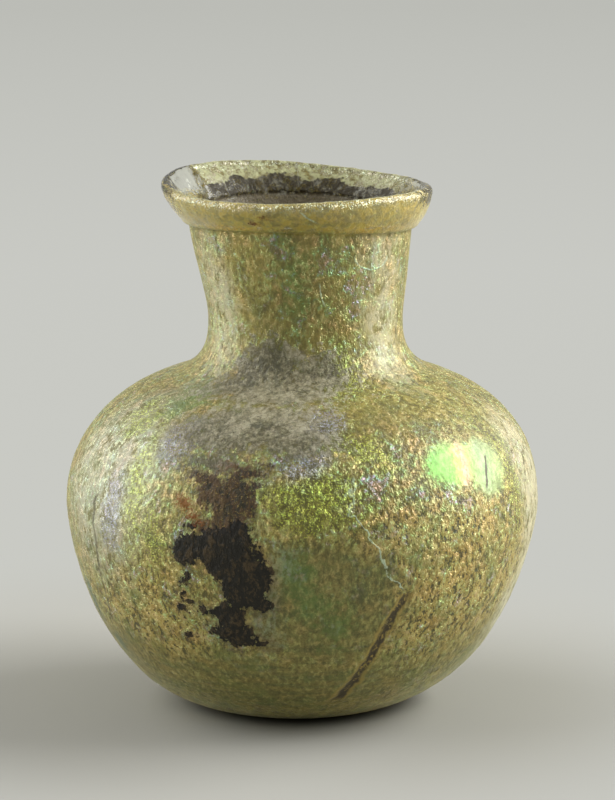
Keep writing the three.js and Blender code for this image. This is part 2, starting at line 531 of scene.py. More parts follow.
# Outward directions at the grid's points, from its own slopes
def outwards(grid):
    places = grid.points.reshape(grid.rows, grid.columns, 3)
    around = np.roll(places, -1, 1) - np.roll(places, 1, 1)
    normals = np.cross(around, np.gradient(places, axis=0)).reshape(-1, 3)
    return normals / np.linalg.norm(normals, axis=1)[:, None]


farOff = 9.0  # millimetres, for what is nowhere near a mark or a line


# Signed distance in millimetres into the nearest of some ellipses on the skin, positive inside
def intoMarks(marks, grid):
    deepest = np.full(len(grid.angle), -farOff)
    for markAngle, markHeight, halfWidth, halfHeight, tilt in marks:
        across = turnedFrom(grid.angle, math.radians(markAngle)) * grid.radiusAt(markHeight)
        up = grid.along - grid.alongAt(markHeight)
        c, s = math.cos(math.radians(tilt)), math.sin(math.radians(tilt))
        u, v = across * c + up * s, up * c - across * s
        reach = np.hypot(u / halfWidth, v / halfHeight)
        deepest = np.maximum(deepest, (1 - reach) * min(halfWidth, halfHeight))
    return np.where(grid.isOuter, deepest, -farOff)


# Signed distance in millimetres to the right of a line on the skin, which runs on past both its ends
def acrossLine(places, grid):
    steps = 60  # for measuring how it leans
    degrees, heights = np.array(sorted(places, key=lambda p: p[1])).T
    turned = turnedFrom(grid.angle, np.radians(np.interp(grid.height, heights, degrees)))
    fine = np.linspace(heights[0], heights[-1], steps)
    lean = np.gradient(np.radians(np.interp(fine, heights, degrees)), fine) * grid.radiusAt(fine)
    upright = 1 / np.sqrt(1 + np.interp(grid.height, fine, lean) ** 2)
    return np.where(grid.isOuter, turned * grid.radius * upright, farOff)


# The lowest and highest place of a line on the skin
def lineEnds(name):
    heights = [height for _, height in skinLines[name]]
    return min(heights), max(heights)


# Noises of the relief: the size of their forms in millimetres, their octaves and their seeds
reliefNoises = {
    "broad": {"size": 24, "octaves": 2, "seed": 1},
    "middle": {"size": 6, "octaves": 2, "seed": 2},
    "grit": {"size": 1.9, "octaves": 3, "seed": 3},
    "speck": {"size": 1.1, "octaves": 2, "seed": 4},
}

# How far each thing stands out of the skin, in millimetres, evenly and with each noise
reliefDepths = {
    "all": {"broad": 0.10, "middle": 0.05},
    "body": {"grit": 0.05, "speck": 0.03},
    "crust": {"even": 0.16, "lumps": 0.10, "speck": 0.07},
    "brown": {"even": 0.07, "grit": 0.06},
    "film": {"even": 0.05, "grit": 0.05},
    "bank": {"even": 0.07},
    "scar": {"even": -0.16, "grit": -0.07},
    "crack": {"even": 0.05},
    "rim": {"grit": 0.09, "speck": 0.08, "middle": 0.05},
    "inside": {"broad": 0.05, "middle": 0.05},
    "rimInside": {"grit": 0.06},
}


# Where a mark's relief starts and is whole, in millimetres into the mark, and how the noises move that
reliefEdges = {
    "crust": {"edge": (-0.25, 0.5), "loose": 0.8},
    "brown": {"edge": (-0.4, 0.8), "loose": 0.9},
    "film": {"edge": (-1.0, 1.6), "loose": 1.6},
}
bankAway = 1.25  # of a bank's ridge from the middle of the scar, in millimetres


# How much of each thing is at each point, from 0 to 1
def sharesOf(grid, marks, lines, noises):
    height = grid.height
    ragged = noises["middle"] * 0.5 + noises["grit"] * 0.7

    def alongLine(name, fade=2):
        low, high = lineEnds(name)
        return smooth(height, low, low + fade) * (1 - smooth(height, high - fade, high))

    fromScar = np.abs(lines["scar"])
    offFoot = smooth(height, 0.3, 3.5)
    onRim = smooth(height, jarForm["collarHeight"], jarForm["lipHeight"])
    marked = {}
    for name, look in reliefEdges.items():
        marked[name] = smooth(marks[name] + ragged * look["loose"], *look["edge"])
    return marked | {
        "all": offFoot,
        "body": offFoot * (1 - smooth(height, 46, 56)),
        "bank": (1 - smooth(np.abs(fromScar - bankAway), 0.1, 0.7)) * alongLine("scar"),
        "scar": (1 - smooth(fromScar + ragged * 0.2, 0.35, 0.95)) * alongLine("scar"),
        "crack": (1 - smooth(np.abs(lines["crack"]), 0.1, 0.6)) * alongLine("crack"),
        "rim": onRim,
        "inside": smooth(height, 3.5, 7),
        "rimInside": onRim,
    }


# How far each point of the skin is moved outwards by its relief
def reliefOf(grid, marks, lines):
    noises = {name: noiseAt(grid.points, **look) for name, look in reliefNoises.items()}
    shares = sharesOf(grid, marks, lines, noises)
    noises |= {"even": 1, "lumps": np.abs(noises["grit"])}
    moves = {}
    for thing, depths in reliefDepths.items():
        moves[thing] = shares[thing] * sum(noises[name] * depth for name, depth in depths.items())
    inner = moves.pop("inside") + moves.pop("rimInside")
    return np.where(grid.isOuter, sum(moves.values()), inner)


# Quads between the rows, and a fan of triangles round the pole at each end
def jarFaces(rows, columns):
    column = np.arange(columns)
    after = (column + 1) % columns
    start = np.arange(rows - 1)[:, None] * columns
    beyond = start + columns
    quads = np.stack([start + column, start + after, beyond + after, beyond + column], axis=-1)
    under, floor, last = rows * columns, rows * columns + 1, (rows - 1) * columns
    pairs = list(zip(column.tolist(), after.tolist()))
    fans = [(under, b, a) for a, b in pairs] + [(floor, last + a, last + b) for a, b in pairs]
    return quads.reshape(-1, 4).tolist() + fans


storedReach = {"depth": 8, "across": 5}  # millimetres, beyond which a distance isn't told


# What the material reads from the mesh: the marks' depths, the lines' distances and the places
def storeMarks(mesh, grid, marks, lines):
    deep, wide = storedReach["depth"], storedReach["across"]
    stored = {name + "Depth": np.clip(depth, -deep, deep) for name, depth in marks.items()}
    stored |= {name + "Across": np.clip(across, -wide, wide) for name, across in lines.items()}
    stored |= {"fromFront": np.degrees(grid.angle), "level": grid.height, "inside": ~grid.isOuter}
    for name, values in stored.items():
        attribute = mesh.attributes.new(name, "FLOAT", "POINT")
        withPoles = np.r_[values, values[0], values[-1]].astype(np.float32)
        attribute.data.foreach_set("value", withPoles)


def buildJar():
    f = jarForm
    grid = jarGrid(f)
    marks = {name: intoMarks(places, grid) for name, places in skinMarks.items()}
    lines = {name: acrossLine(places, grid) for name, places in skinLines.items()}
    points = grid.points + outwards(grid) * reliefOf(grid, marks, lines)[:, None]
    foot = f["drift"]["foot"]
    poles = [(foot, 0, f["kickHeight"]), (foot, 0, f["floorThickness"] + f["kickHeight"])]
    mesh = bpy.data.meshes.new("jar")
    mesh.from_pydata((np.vstack([points, poles]) * mm).tolist(), [], jarFaces(grid.rows, grid.columns))
    mesh.shade_smooth()
    storeMarks(mesh, grid, marks, lines)
    mesh.update()
    piece = linked("blown_glass_jar", mesh)
    print("jar mesh:", grid.rows, "rows,", sum(len(p.vertices) - 2 for p in mesh.polygons), "triangles")
    return piece


# The weathered glass, with some painted light and painted shade, in a picture's colours
colours = {
    "pit": paint(72, 66, 32),
    "olive": paint(111, 102, 40),
    "oliveStraw": paint(150, 137, 60),
    "straw": paint(184, 170, 86),
    "pale": paint(214, 205, 140),
    "tanOlive": paint(120, 105, 44),
    "tan": paint(174, 148, 70),
    "tanPale": paint(208, 187, 110),
    "silver": paint(184, 186, 164),
    "mossGreen": paint(104, 118, 52),
    "rose": paint(186, 146, 118),
    "dull": paint(124, 114, 56),
    "dullGreen": paint(96, 98, 50),
    "haze": paint(146, 152, 122),
    "violet": paint(150, 144, 184),
    "lime": paint(196, 202, 70),
    "film": paint(136, 130, 106),
    "filmDark": paint(78, 74, 56),
    "filmPale": paint(178, 171, 148),
    # painted shade, tinted green, at the lower left edge
    "greenEdge": paint(72, 92, 66),
    # painted shade on the front of the shoulder and the neck's middle
    "shoulder": paint(100, 91, 40),
    "moss": paint(92, 122, 48),
    # painted light on the sides that face the lamps
    "chalk": paint(228, 222, 192),
    "crust": paint(24, 22, 16),
    "crustLight": paint(74, 60, 38),
    "brown": paint(88, 64, 42),
    "brownDark": paint(44, 40, 33),
    "rust": paint(140, 82, 30),
    "tawny": paint(118, 90, 50),
    # painted glow of light through the rim's glass
    "gold": paint(232, 184, 66),
    "ochre": paint(200, 174, 76),
    "ochrePale": paint(230, 212, 130),
    "glaze": paint(150, 160, 104),
    "insideGrey": paint(124, 114, 92),
    # brown deposit inside under the lip, darkened with painted shade
    "insideDepositAndPaintedShade": paint(58, 50, 26),
    "insidePale": paint(176, 176, 128),
    "insideGold": paint(150, 140, 84),
    "scar": paint(60, 52, 36),
    "thread": paint(206, 226, 196),
}

# The noises that break it up: forms per millimetre, and how they are drawn out or bent
skinNoises = {
    "patchy": {"perMm": 0.22, "seed": 2, "detail": 3},
    "ragged": {"perMm": 0.9, "seed": 3, "roughness": 0.65},
    "grain": {"perMm": 1.5, "seed": 4, "detail": 3, "distortion": 0.2, "stretch": (1, 1, 0.6)},
    "fine": {"perMm": 3.6, "seed": 5, "detail": 2},
    "streaks": {"perMm": 1, "seed": 6, "stretch": (0.1, 0.1, 1.6)},
    "upright": {"perMm": 0.35, "seed": 7, "stretch": (1, 1, 0.15)},
    "cloudy": {"perMm": 0.55, "seed": 8, "roughness": 0.65, "distortion": 0.5, "stretch": (1, 1, 0.7)},
    "hue": {"perMm": 0.3, "seed": 9, "detail": 3, "distortion": 0.6},
    "wrinkle": {"perMm": 0.75, "seed": 10, "distortion": 0.4, "stretch": (0.7, 0.7, 1.4)},
    "brushed": {"perMm": 1.1, "seed": 11, "distortion": 0.8, "stretch": (1, 1, 0.35)},
    "thready": {"perMm": 0.9, "seed": 12, "detail": 2, "distortion": 0.6, "stretch": (1, 1, 0.5)},
}
curling = {"Scale": 0.6, "Detail": 2, "Roughness": 0.65}  # bends the film's patches and the flecks

# Zones of the skin: where a zone's edge starts and ends, counted inwards from its marks' own edge, how
# far the noises move that, both in millimetres, and how much of its colour is laid on
zoneLooks = {
    "dull": {"edge": (-4, 3), "loose": 8, "amount": 0.85},
    "tan": {"edge": (-6, 5), "loose": 8, "amount": 0.8},
    "silver": {"edge": (-5, 4), "loose": 8, "amount": 0.8},
    "glaze": {"edge": (-1.2, 1.2), "loose": 1.6, "amount": 0.75},
    "calm": {"edge": (-4, 3), "loose": 6},
    "shoulder": {"edge": (-7, 4), "loose": 8, "amount": 0.45},
    "moss": {"edge": (-1.6, 1.6), "loose": 7, "amount": 0.55},
    "chalk": {"edge": (-3.5, 3), "loose": 7, "amount": 0.55},
    "lime": {"edge": (-2.2, 1.2), "loose": 7, "amount": 0.75},
    "violet": {"edge": (-2, 1.4), "loose": 6, "amount": 0.6},
    "haze": {"edge": (-1.4, 1.2), "loose": 6, "amount": 0.5},
    "tawny": {"edge": (-0.8, 0.8), "loose": 3, "amount": 0.75},
    "greenEdge": {"edge": (-0.5, 1), "loose": 4, "amount": 0.8},
    "gold": {"edge": (-0.5, 0.5), "loose": 1.5, "amount": 0.8},
}

# How much is laid on of the other layers' colours
amounts = {
    "mossGreen": 0.45,
    "rose": 0.35,
    "grains": 0.55,
    # painted glints along the raised ridges
    "paintedRidgeGlints": 0.33,
    "neck": 0.3,
    "collar": 0.8,
    "film": 0.86,
    "creases": 0.45,
    "outlines": 0.7,
    "aroundCrust": 0.4,
    "brown": 0.92,
    "crust": 0.97,
    "rust": 0.85,
    # the banks' lighter tan is a painted highlight
    "bank": 0.5,
    "scar": 0.92,
    "thread": 0.7,
    "scratch": 0.9,
}

# Heights in millimetres between which something comes in, from below
heightBands = {
    "streaks": (12, 24),
    "filmFoot": (43.5, 47),
    "filmTop": (51, 55),
    "neck": (53, 58),
    "loopTop": (70.2, 71.2),
    "rim": (74.2, 75.2),
    "collar": (74.4, 75),
    "fold": (75.4, 76.2),
    "lipTint": (78, 79),
    "lipShine": (78.4, 79.4),
}


# What the layers are cut by: the place in millimetres, the noises, the heights, the zones and the ridges
def skinGround(s):
    n = SimpleNamespace(place=s.vector("MULTIPLY", s.add("TexCoord", output="Object"), (1 / mm,) * 3))
    for name, look in skinNoises.items():
        setattr(n, name, s.clouds(n.place, **look))
    n.ragged = n.ragged - 0.5
    n.grit = n.grain * 0.7 + n.fine * 0.3
    n.cloud = n.cloudy * 0.6 + n.grit * 0.4
    n.curl = s.add("TexNoise", None, {"Vector": n.place} | curling, "Color")
    n.level, n.fromFront, n.inside = s.marked("level"), s.marked("fromFront"), s.marked("inside")
    n.above = {name: s.rise(n.level, *band) for name, band in heightBands.items()}
    loosened = n.ragged + n.patchy - 0.5
    n.zones = {}
    for name, look in zoneLooks.items():
        n.zones[name] = s.rise(s.marked(name + "Depth") + loosened * look["loose"], *look["edge"])
    n.ridge = (1 - s.rise(abs(n.thready - 0.5), 0, 0.03)) * s.rise(n.patchy, 0.42, 0.56)
    return n


# Lays a zone's own colour over the skin, and only where a pattern lets it
def laid(s, n, skin, zone, pattern=1):
    return s.mix(n.zones[zone] * zoneLooks[zone]["amount"] * pattern, skin, colours[zone])


# The grainy skin: soft clouds of straw, tan or silver over olive, then pale grains, partly lighter
# weathering and partly painted glints, painted glints along the ridges, and dark pits
def grainySkin(s, n):
    a, c, zones = amounts, colours, n.zones
    skin = s.ramp(n.cloud, (0.4, c["olive"]), (0.5, c["oliveStraw"]), (0.6, c["straw"]))
    tan = s.ramp(n.cloud, (0.4, c["tanOlive"]), (0.5, c["tan"]), (0.6, c["tanPale"]))
    skin = s.mix(zones["tan"] * zoneLooks["tan"]["amount"], skin, tan)
    skin = laid(s, n, skin, "silver", s.rise(n.cloud, 0.4, 0.54))
    skin = s.mix(s.rise(n.patchy, 0.5, 0.64) * a["mossGreen"], skin, c["mossGreen"])
    skin = s.mix(s.rise(n.cloudy, 0.58, 0.66) * a["rose"], skin, c["rose"])
    # pale grains: partly lighter weathering, partly painted glints; pale along the ridges: painted glints
    pale = s.rise(n.grit, 0.54, 0.62) * a["grains"] + n.ridge * a["paintedRidgeGlints"]
    skin = s.mix(pale, skin, c["pale"])
    pitted = 1 - s.rise(n.grit + (n.patchy - 0.5) * 0.16, 0.4, 0.47)
    pitting = 0.5 + zones["tan"] * 0.45 - zones["silver"] * 0.4 - n.above["neck"] * 0.1
    skin = s.mix(pitted * pitting, skin, c["pit"])
    skin = s.mix(zones["dull"] * zoneLooks["dull"]["amount"], skin, dullSkin(s, n))
    neckSkin = s.mix(s.rise(n.upright, 0.42, 0.6), c["olive"], c["straw"])
    return s.mix(n.above["neck"] * a["neck"], skin, neckSkin)


# The plainer skin low on the body, with level streaks near the foot
def dullSkin(s, n):
    c = colours
    drawn = n.cloudy + (n.streaks - n.cloudy) * (1 - n.above["streaks"])
    skin = s.mix(s.rise(drawn, 0.38, 0.62), c["dullGreen"], c["dull"])
    skin = s.mix(s.rise(n.patchy, 0.5, 0.66) * 0.4, skin, c["mossGreen"])
    skin = s.mix(s.rise(n.grit, 0.5, 0.62) * 0.35, skin, c["straw"])
    return s.mix((1 - s.rise(n.grit, 0.4, 0.48)) * 0.3, skin, c["pit"])


# The collar's ochre face, zones of other colours, painted shade on the front of the shoulder and neck, and
# painted light on the sides that face the lamps
def tintedSkin(s, n, skin):
    a, c, zones = amounts, colours, n.zones
    ochre = s.mix(s.rise(n.ragged, -0.1, 0.12), c["ochre"], c["ochrePale"])
    skin = s.mix(n.above["collar"] * a["collar"], skin, ochre)
    skin = laid(s, n, skin, "glaze")
    skin = laid(s, n, skin, "shoulder")  # painted shade on the front of the shoulder and on the neck's middle
    skin = laid(s, n, skin, "moss")
    # painted light: the sides that face the lamps made paler
    skin = laid(s, n, skin, "chalk", s.rise(n.cloud, 0.38, 0.52))
    skin = s.mix(zones["lime"] * (1 - zones["silver"]) * 0.5, skin, c["pit"])
    skin = laid(s, n, skin, "lime", s.rise(n.fine, 0.54, 0.64))
    skin = laid(s, n, skin, "violet", s.rise(n.fine, 0.48, 0.6))
    return laid(s, n, skin, "haze", s.rise(n.grit, 0.4, 0.56))


filmPatches = {"perMm": 0.3, "warp": (5, 5, 5)}
# How much lighter it gets with each noise, from patch to patch, at its top and foot, and to the right
filmShade = {"ragged": 0.7, "cloudy": 0.5, "grit": 1.1, "patch": 0.16}
filmShade |= {"top": -0.09, "foot": -0.24, "right": 0.08}


# The grey film on the shoulder: wrinkled, darker at its top and its foot, and lost among the grains.
# This and the next layers note where they are in n, for the relief and the shine.
def greyFilm(s, n, skin):
    a, c, f = amounts, colours, filmShade
    edge = (n.ragged + n.cloudy - 0.5) * 8 + (n.grit - 0.5) * 9
    n.film = s.rise(s.marked("filmDepth") + edge, -1, 1.5)
    warped = s.vector("ADD", n.place, s.vector("MULTIPLY", n.curl, filmPatches["warp"]))
    patches = {"Vector": warped, "Scale": filmPatches["perMm"]}
    patch = s.add("SeparateColor", None, {"Color": s.add("TexVoronoi", None, patches, "Color")}, "Red")
    border = s.add("TexVoronoi", {"feature": "DISTANCE_TO_EDGE"}, patches, "Distance")
    shade = n.ragged * f["ragged"] + (n.cloudy - 0.5) * f["cloudy"] + (n.grit - 0.5) * f["grit"]
    shade = shade + (patch - 0.5) * f["patch"] + s.rise(n.fromFront, -14, -4) * f["right"]
    shade = shade + n.above["filmTop"] * f["top"] + (1 - n.above["filmFoot"]) * f["foot"]
    tone = s.ramp(shade + 0.5, (0.34, c["filmDark"]), (0.5, c["film"]), (0.68, c["filmPale"]))
    n.crease = 1 - s.rise(abs(n.wrinkle - 0.5), 0, 0.035)
    outlined = (1 - s.rise(border, 0, 0.07)) * s.rise(n.grit, 0.44, 0.54)
    tone = s.mix(n.crease * a["creases"] + outlined * a["outlines"], tone, c["filmDark"])
    return s.mix(n.film * a["film"], skin, tone)


# Brown and black crust, and rust spots
def crustLayers(s, n, skin):
    a, c = amounts, colours
    around = s.rise(s.marked("crustDepth") + n.ragged * 5, -1.8, 0.1)
    skin = s.mix(around * a["aroundCrust"], skin, c["brown"])
    n.brown = s.rise(s.marked("brownDepth") + n.ragged * 5 + (n.grain - 0.5) * 4, -0.5, 0.7)
    brown = s.mix(s.rise(n.brushed * 0.6 + n.grit * 0.4, 0.42, 0.56), c["brownDark"], c["brown"])
    brown = s.mix(s.rise(n.fine, 0.58, 0.68) * 0.5, brown, c["tan"])
    skin = s.mix(n.brown * a["brown"], skin, brown)
    skin = laid(s, n, skin, "tawny", s.rise(n.grit, 0.4, 0.56))
    edge = (n.ragged + n.cloudy - 0.5) * 3 + (n.fine - 0.5) * 0.8
    n.crust = s.rise(s.marked("crustDepth") + edge, -0.15, 0.15)
    crust = s.mix(s.rise(n.cloudy * 0.5 + n.grit * 0.5, 0.49, 0.6), c["crust"], c["crustLight"])
    skin = s.mix(n.crust * a["crust"], skin, crust)
    n.rust = s.rise(s.marked("rustDepth") + n.ragged * 2 + (n.fine - 0.5) * 2.5, -0.5, 0.5)
    return s.mix(n.rust * a["rust"], skin, c["rust"])


# How much of a line on the skin is here. Widths and wavering are in millimetres.
def lineHere(s, n, name, halfWidth, waver, edge=0.15):
    low, high = lineEnds(name)
    across = abs(s.marked(name + "Across") + (n.patchy - 0.5) * waver) + n.ragged * 0.5
    along = s.rise(n.level, low, low + 1) * (1 - s.rise(n.level, high - 1, high))
    return (1 - s.rise(across, halfWidth, halfWidth + edge)) * along


# The scar between its banks, with a painted highlight on the banks, the raised threads, the dark
# scratches, painted shade at the lower left edge, and a painted golden glow of light through the rim
def lineLayers(s, n, skin):
    a, c = amounts, colours
    # the banks are raised, and their lighter tan is a painted highlight
    n.bank = lineHere(s, n, "scar", 0.9, 2, 0.5)
    skin = s.mix(n.bank * a["bank"], skin, c["tan"])
    n.scar = lineHere(s, n, "scar", 0.42, 2.4, 0.4) * s.rise(n.cloudy + n.grit * 0.5, 0.58, 0.7)
    scar = s.mix(s.rise(n.grit, 0.54, 0.66), c["scar"], c["tan"])
    skin = s.mix(n.scar * a["scar"], skin, scar)
    loop = 1 - s.rise(abs(s.marked("loopDepth") + n.ragged * 0.4), 0.05, 0.16)
    n.thread = lineHere(s, n, "crack", 0.08, 5) * s.rise(n.cloudy, 0.4, 0.5)
    n.thread = n.thread + lineHere(s, n, "thread", 0.08, 0.8) + lineHere(s, n, "neckThread", 0.05, 0.8)
    n.thread = n.thread + loop * (1 - n.above["loopTop"])
    skin = s.mix(n.thread * a["thread"], skin, c["thread"])
    n.scratch = lineHere(s, n, "scratch", 0.1, 0.6) + lineHere(s, n, "seam", 0.08, 3, 0.4) * 0.8
    skin = s.mix(n.scratch * a["scratch"], skin, c["pit"])
    # painted shade, tinted green, at the lower left edge
    skin = laid(s, n, skin, "greenEdge")
    # painted glow of light through the rim's glass
    return laid(s, n, skin, "gold", s.rise(n.fine, 0.4, 0.56))


# Inside: a grey film in the neck, a dark band under the lip with a ragged edge, brown deposit with painted
# shade, pale glass above
def insideSkin(s, n, skin):
    c = colours
    n.aboveBand = s.rise(n.level + (n.patchy - 0.5) * 4 + n.ragged * 1.6, 77.9, 78.15)
    # brown deposit with painted shade in the band under the lip
    tone = s.mix(n.above["fold"], c["insideGrey"], c["insideDepositAndPaintedShade"])
    rimTone = s.mix(s.rise(n.ragged, -0.05, 0.1), c["insidePale"], c["insideGold"])
    return s.mix(n.inside, skin, s.mix(n.aboveBand, tone, rimTone))


# Relief too fine for the mesh, in millimetres, and the flecks that tilt this way and that
bumps = {
    "grain": 0.52,
    "fine": 0.14,
    "ridge": 0.07,
    "streaks": 0.05,
    "patchy": 0.3,
    "cloudy": 0.35,
    "crust": 0.1,
    "film": 0.05,
    "crease": -0.16,
    "scar": -0.16,
    "bank": 0.1,
    "thread": 0.07,
    "scratch": -0.08,
}
# How much flatter the grains and flecks lie in a zone
flatter = {"dull": 0.75, "glaze": 0.92, "silver": 0.4, "calm": 0.5}
flatterInside = 0.6
flecks = {"perMm": 2.4, "tilt": 0.7, "curl": (1.4, 1.4, 1.4), "stretch": (1, 1, 0.6)}


# The directions that the three sorts of surface face: crust, skin and flecks
def skinNormals(s, n):
    b, zones = bumps, n.zones
    lively = 1 - n.inside * flatterInside
    for zone, share in flatter.items():
        lively = lively * (1 - zones[zone] * share)
    heights = ((n.grain - 0.5) * b["grain"] + (n.fine - 0.5) * b["fine"] + n.ridge * b["ridge"]) * lively
    heights = heights + n.streaks * zones["dull"] * b["streaks"] + (n.patchy - 0.5) * b["patchy"]
    heights = heights + (n.cloudy - 0.5) * (1 - zones["dull"]) * (1 - zones["glaze"]) * b["cloudy"]
    heights = heights + n.crust * b["crust"] + n.film * (n.crease * b["crease"] + b["film"])
    heights = heights + n.scar * b["scar"] + n.bank * b["bank"]
    heights = heights + n.thread * b["thread"] + n.scratch * b["scratch"]
    bumped = s.add("Bump", None, {"Strength": 1, "Distance": mm, "Height": heights})
    own = s.add("NewGeometry", output="Normal")
    softened = s.vector("NORMALIZE", s.vector("ADD", bumped, own))

    curled = s.vector("ADD", n.place, s.vector("MULTIPLY", n.curl, flecks["curl"]))
    curled = s.vector("MULTIPLY", curled, flecks["stretch"])
    cells = s.add("TexVoronoi", None, {"Vector": curled, "Scale": flecks["perMm"]}, "Color")
    n.fleck = s.add("SeparateColor", None, {"Color": cells}, "Green")
    tilt = s.vector("SUBTRACT", cells, (0.5, 0.5, 0.5))
    tilting = lively * (1 - n.crust) * flecks["tilt"]
    tilt = s.add("VectorMath", {"operation": "SCALE"}, {0: tilt, "Scale": tilting})
    flecked = s.vector("NORMALIZE", s.vector("ADD", bumped, tilt))
    return bumped, softened, flecked


# The iridescent film's colours, as light from bare metal, by its drifting noise
rainbowStops = [
    (0.36, (0.84, 0.54, 0.26)),  # copper
    (0.42, (0.80, 0.64, 0.28)),
    (0.48, (0.74, 0.74, 0.34)),
    (0.54, (0.56, 0.76, 0.28)),
    (0.58, (0.30, 0.68, 0.26)),  # green
    (0.62, (0.36, 0.70, 0.56)),
    (0.66, (0.54, 0.50, 0.84)),  # violet
    (0.71, (0.84, 0.52, 0.48)),
]
# Across the glazed patch, from left to right
glazeStops = [
    (0.05, (0.14, 0.60, 0.08)),
    (0.28, (0.28, 0.78, 0.14)),
    (0.36, (0.56, 0.66, 0.16)),
    (0.42, (0.88, 0.36, 0.30)),  # the pink stripe
    (0.46, (0.78, 0.46, 0.24)),
    (0.50, (0.26, 0.44, 0.09)),
    (0.66, (0.27, 0.43, 0.22)),
    (0.92, (0.40, 0.60, 0.14)),
]
# What it turns to in some zones and on the lip, and how far
filmTints = {
    "silver": {"colour": (0.72, 0.76, 0.66), "amount": 0.5},
    "lime": {"colour": (0.66, 0.82, 0.12), "amount": 0.75},
    "violet": {"colour": (0.52, 0.50, 0.86), "amount": 0.6},
}
lipTint = {"colour": (0.84, 0.84, 0.72), "amount": 0.7}
glazeBands = {"starts": 32, "width": 30, "slant": 0.25, "middle": 41}  # degrees, and height in millimetres


# Its colour drifts over the skin, and from fleck to fleck
def rainbow(s, n):
    zones, g = n.zones, glazeBands
    film = s.ramp(n.hue + (n.fleck - 0.5) * 0.12, *rainbowStops)
    for zone, tint in filmTints.items():
        film = s.mix(zones[zone] * tint["amount"], film, tint["colour"])
    across = n.fromFront + n.ragged * 3 + (n.grit - 0.5) * 5 - (n.level - g["middle"]) * g["slant"]
    film = s.mix(zones["glaze"], film, s.ramp((across - g["starts"]) / g["width"], *glazeStops))
    return s.mix(n.above["lipTint"] * lipTint["amount"], film, lipTint["colour"])


# Its shine on the bare skin, what grains add, and what a zone, the collar or the lip adds or takes
shineLook = {"bare": 0.05, "grains": 0.3, "glaze": 0.15, "dull": -0.7, "calm": -0.6}
rimShine = {"collar": -0.5, "lip": 0.5}


# How much of it shows: most on grains, ridges and the glazed patch, none on crust or inside
def shineHere(s, n):
    zones = n.zones
    covered = n.crust + n.brown + n.rust + n.scar + n.scratch + n.film * 0.75
    glossy = s.rise(n.grit + n.ridge * 0.06, 0.46, 0.58)
    glossy = glossy + (0.6 - glossy) * zones["glaze"] * 0.55
    shine = glossy * shineLook["grains"] + shineLook["bare"]
    for zone in ("glaze", "dull", "calm"):
        shine = shine * (zones[zone] * shineLook[zone] + 1)
    shine = shine * (n.above["collar"] * rimShine["collar"] + 1)
    shine = shine * (1 - s.rise(covered, 0.1, 0.9)) * (1 - n.inside)
    return shine + n.above["lipShine"] * s.rise(n.fine, 0.5, 0.58) * rimShine["lip"]


# Where a clear window in the rim starts and ends, in degrees from the front, and above what height
rimWindows = {
    "left": {"start": (-126, -121), "end": (-74, -62), "above": (75.9, 76.9)},
    "right": {"start": (62, 74), "end": (112, 124), "above": (77.4, 78.4)},
}


# Glass that the weathering has left clear: a window in the rim at each side, and specks of the collar
def clearHere(s, n):
    one, other = rimWindows["left"], rimWindows["right"]
    left = s.rise(n.fromFront + n.ragged * 6, *one["start"])
    left = left * (1 - s.rise(n.fromFront + n.ragged * 40, *one["end"]))
    loosely = n.fromFront + n.ragged * 60
    right = s.rise(loosely, *other["start"]) * (1 - s.rise(loosely, *other["end"]))
    level = n.level + n.ragged * 2.6 + (n.patchy - 0.5) * 2
    clear = left * s.rise(level, *one["above"]) + right * s.rise(level, *other["above"]) * 0.9
    return clear + n.above["collar"] * (1 - left - right) * s.rise(n.ragged, -0.08, 0.1) * 0.45


def weatheredGlass():
    material = bpy.data.materials.new("weathered_glass")
    s = Shader(material)
    n = skinGround(s)
    skin = grainySkin(s, n)
    for layer in (tintedSkin, greyFilm, crustLayers, lineLayers, insideSkin):
        skin = layer(s, n, skin)
    bumped, softened, flecked = skinNormals(s, n)
    weathered = s.add("BsdfPrincipled", None, {
        "Base Color": skin,
        "Roughness": 0.5 - s.rise(n.grit, 0.42, 0.6) * 0.12 + n.zones["dull"] * 0.08 + n.crust * 0.25,
        "Normal": softened,
        "IOR": 1.5,
        "Sheen Weight": 0.28,
        "Sheen Roughness": 0.3,
        "Sheen Tint": (1, 0.96, 0.7),
        "Coat Weight": n.above["rim"] * (1 - n.inside) * 0.7,
        "Coat Roughness": 0.12,
    })
    crusted = s.add("BsdfPrincipled", None, {
        "Base Color": skin,
        "Roughness": 0.6,
        "Normal": bumped,
        "Specular IOR Level": 0.35,
    })
    iridescent = s.add("BsdfPrincipled", None, {
        "Base Color": rainbow(s, n),
        "Metallic": 1,
        "Roughness": 0.24 + n.zones["glaze"] * 0.1,
        "Normal": flecked,
    })
    clean = s.add("BsdfPrincipled", None, {
        "Base Color": (0.99, 0.99, 0.9),
        "Roughness": 0.05,
        "Transmission Weight": 1,
        "IOR": 1.3,
    })
    matte = s.rise(n.crust + n.brown * 0.7 + n.rust * 0.8 + n.inside * (1 - n.aboveBand), 0.2, 0.9)
    surface = s.add("MixShader", None, {0: matte, 1: weathered, 2: crusted})
    surface = s.add("MixShader", None, {0: shineHere(s, n), 1: surface, 2: iridescent})
    s.finish(s.add("MixShader", None, {0: clearHere(s, n), 1: surface, 2: clean}))
    return material


# The stage: a plain pale floor with a painted shadow where the jar touches it, and evenly lit further off.
# Metres.
stageLook = {
    "radius": 2.4,
    "paintedShadowUnderJar": {"from": 0.013, "to": 0.02, "dark": (0.05, 0.045, 0.02), "pale": (0.41, 0.405, 0.37)},
    "further": {"from": 0.042, "to": 0.1, "leftwards": 0.010},
    "evenly": [(0.08, (0.585, 0.59, 0.55)), (0.4, (0.58, 0.585, 0.55)), (1.0, (0.50, 0.505, 0.47))],
}


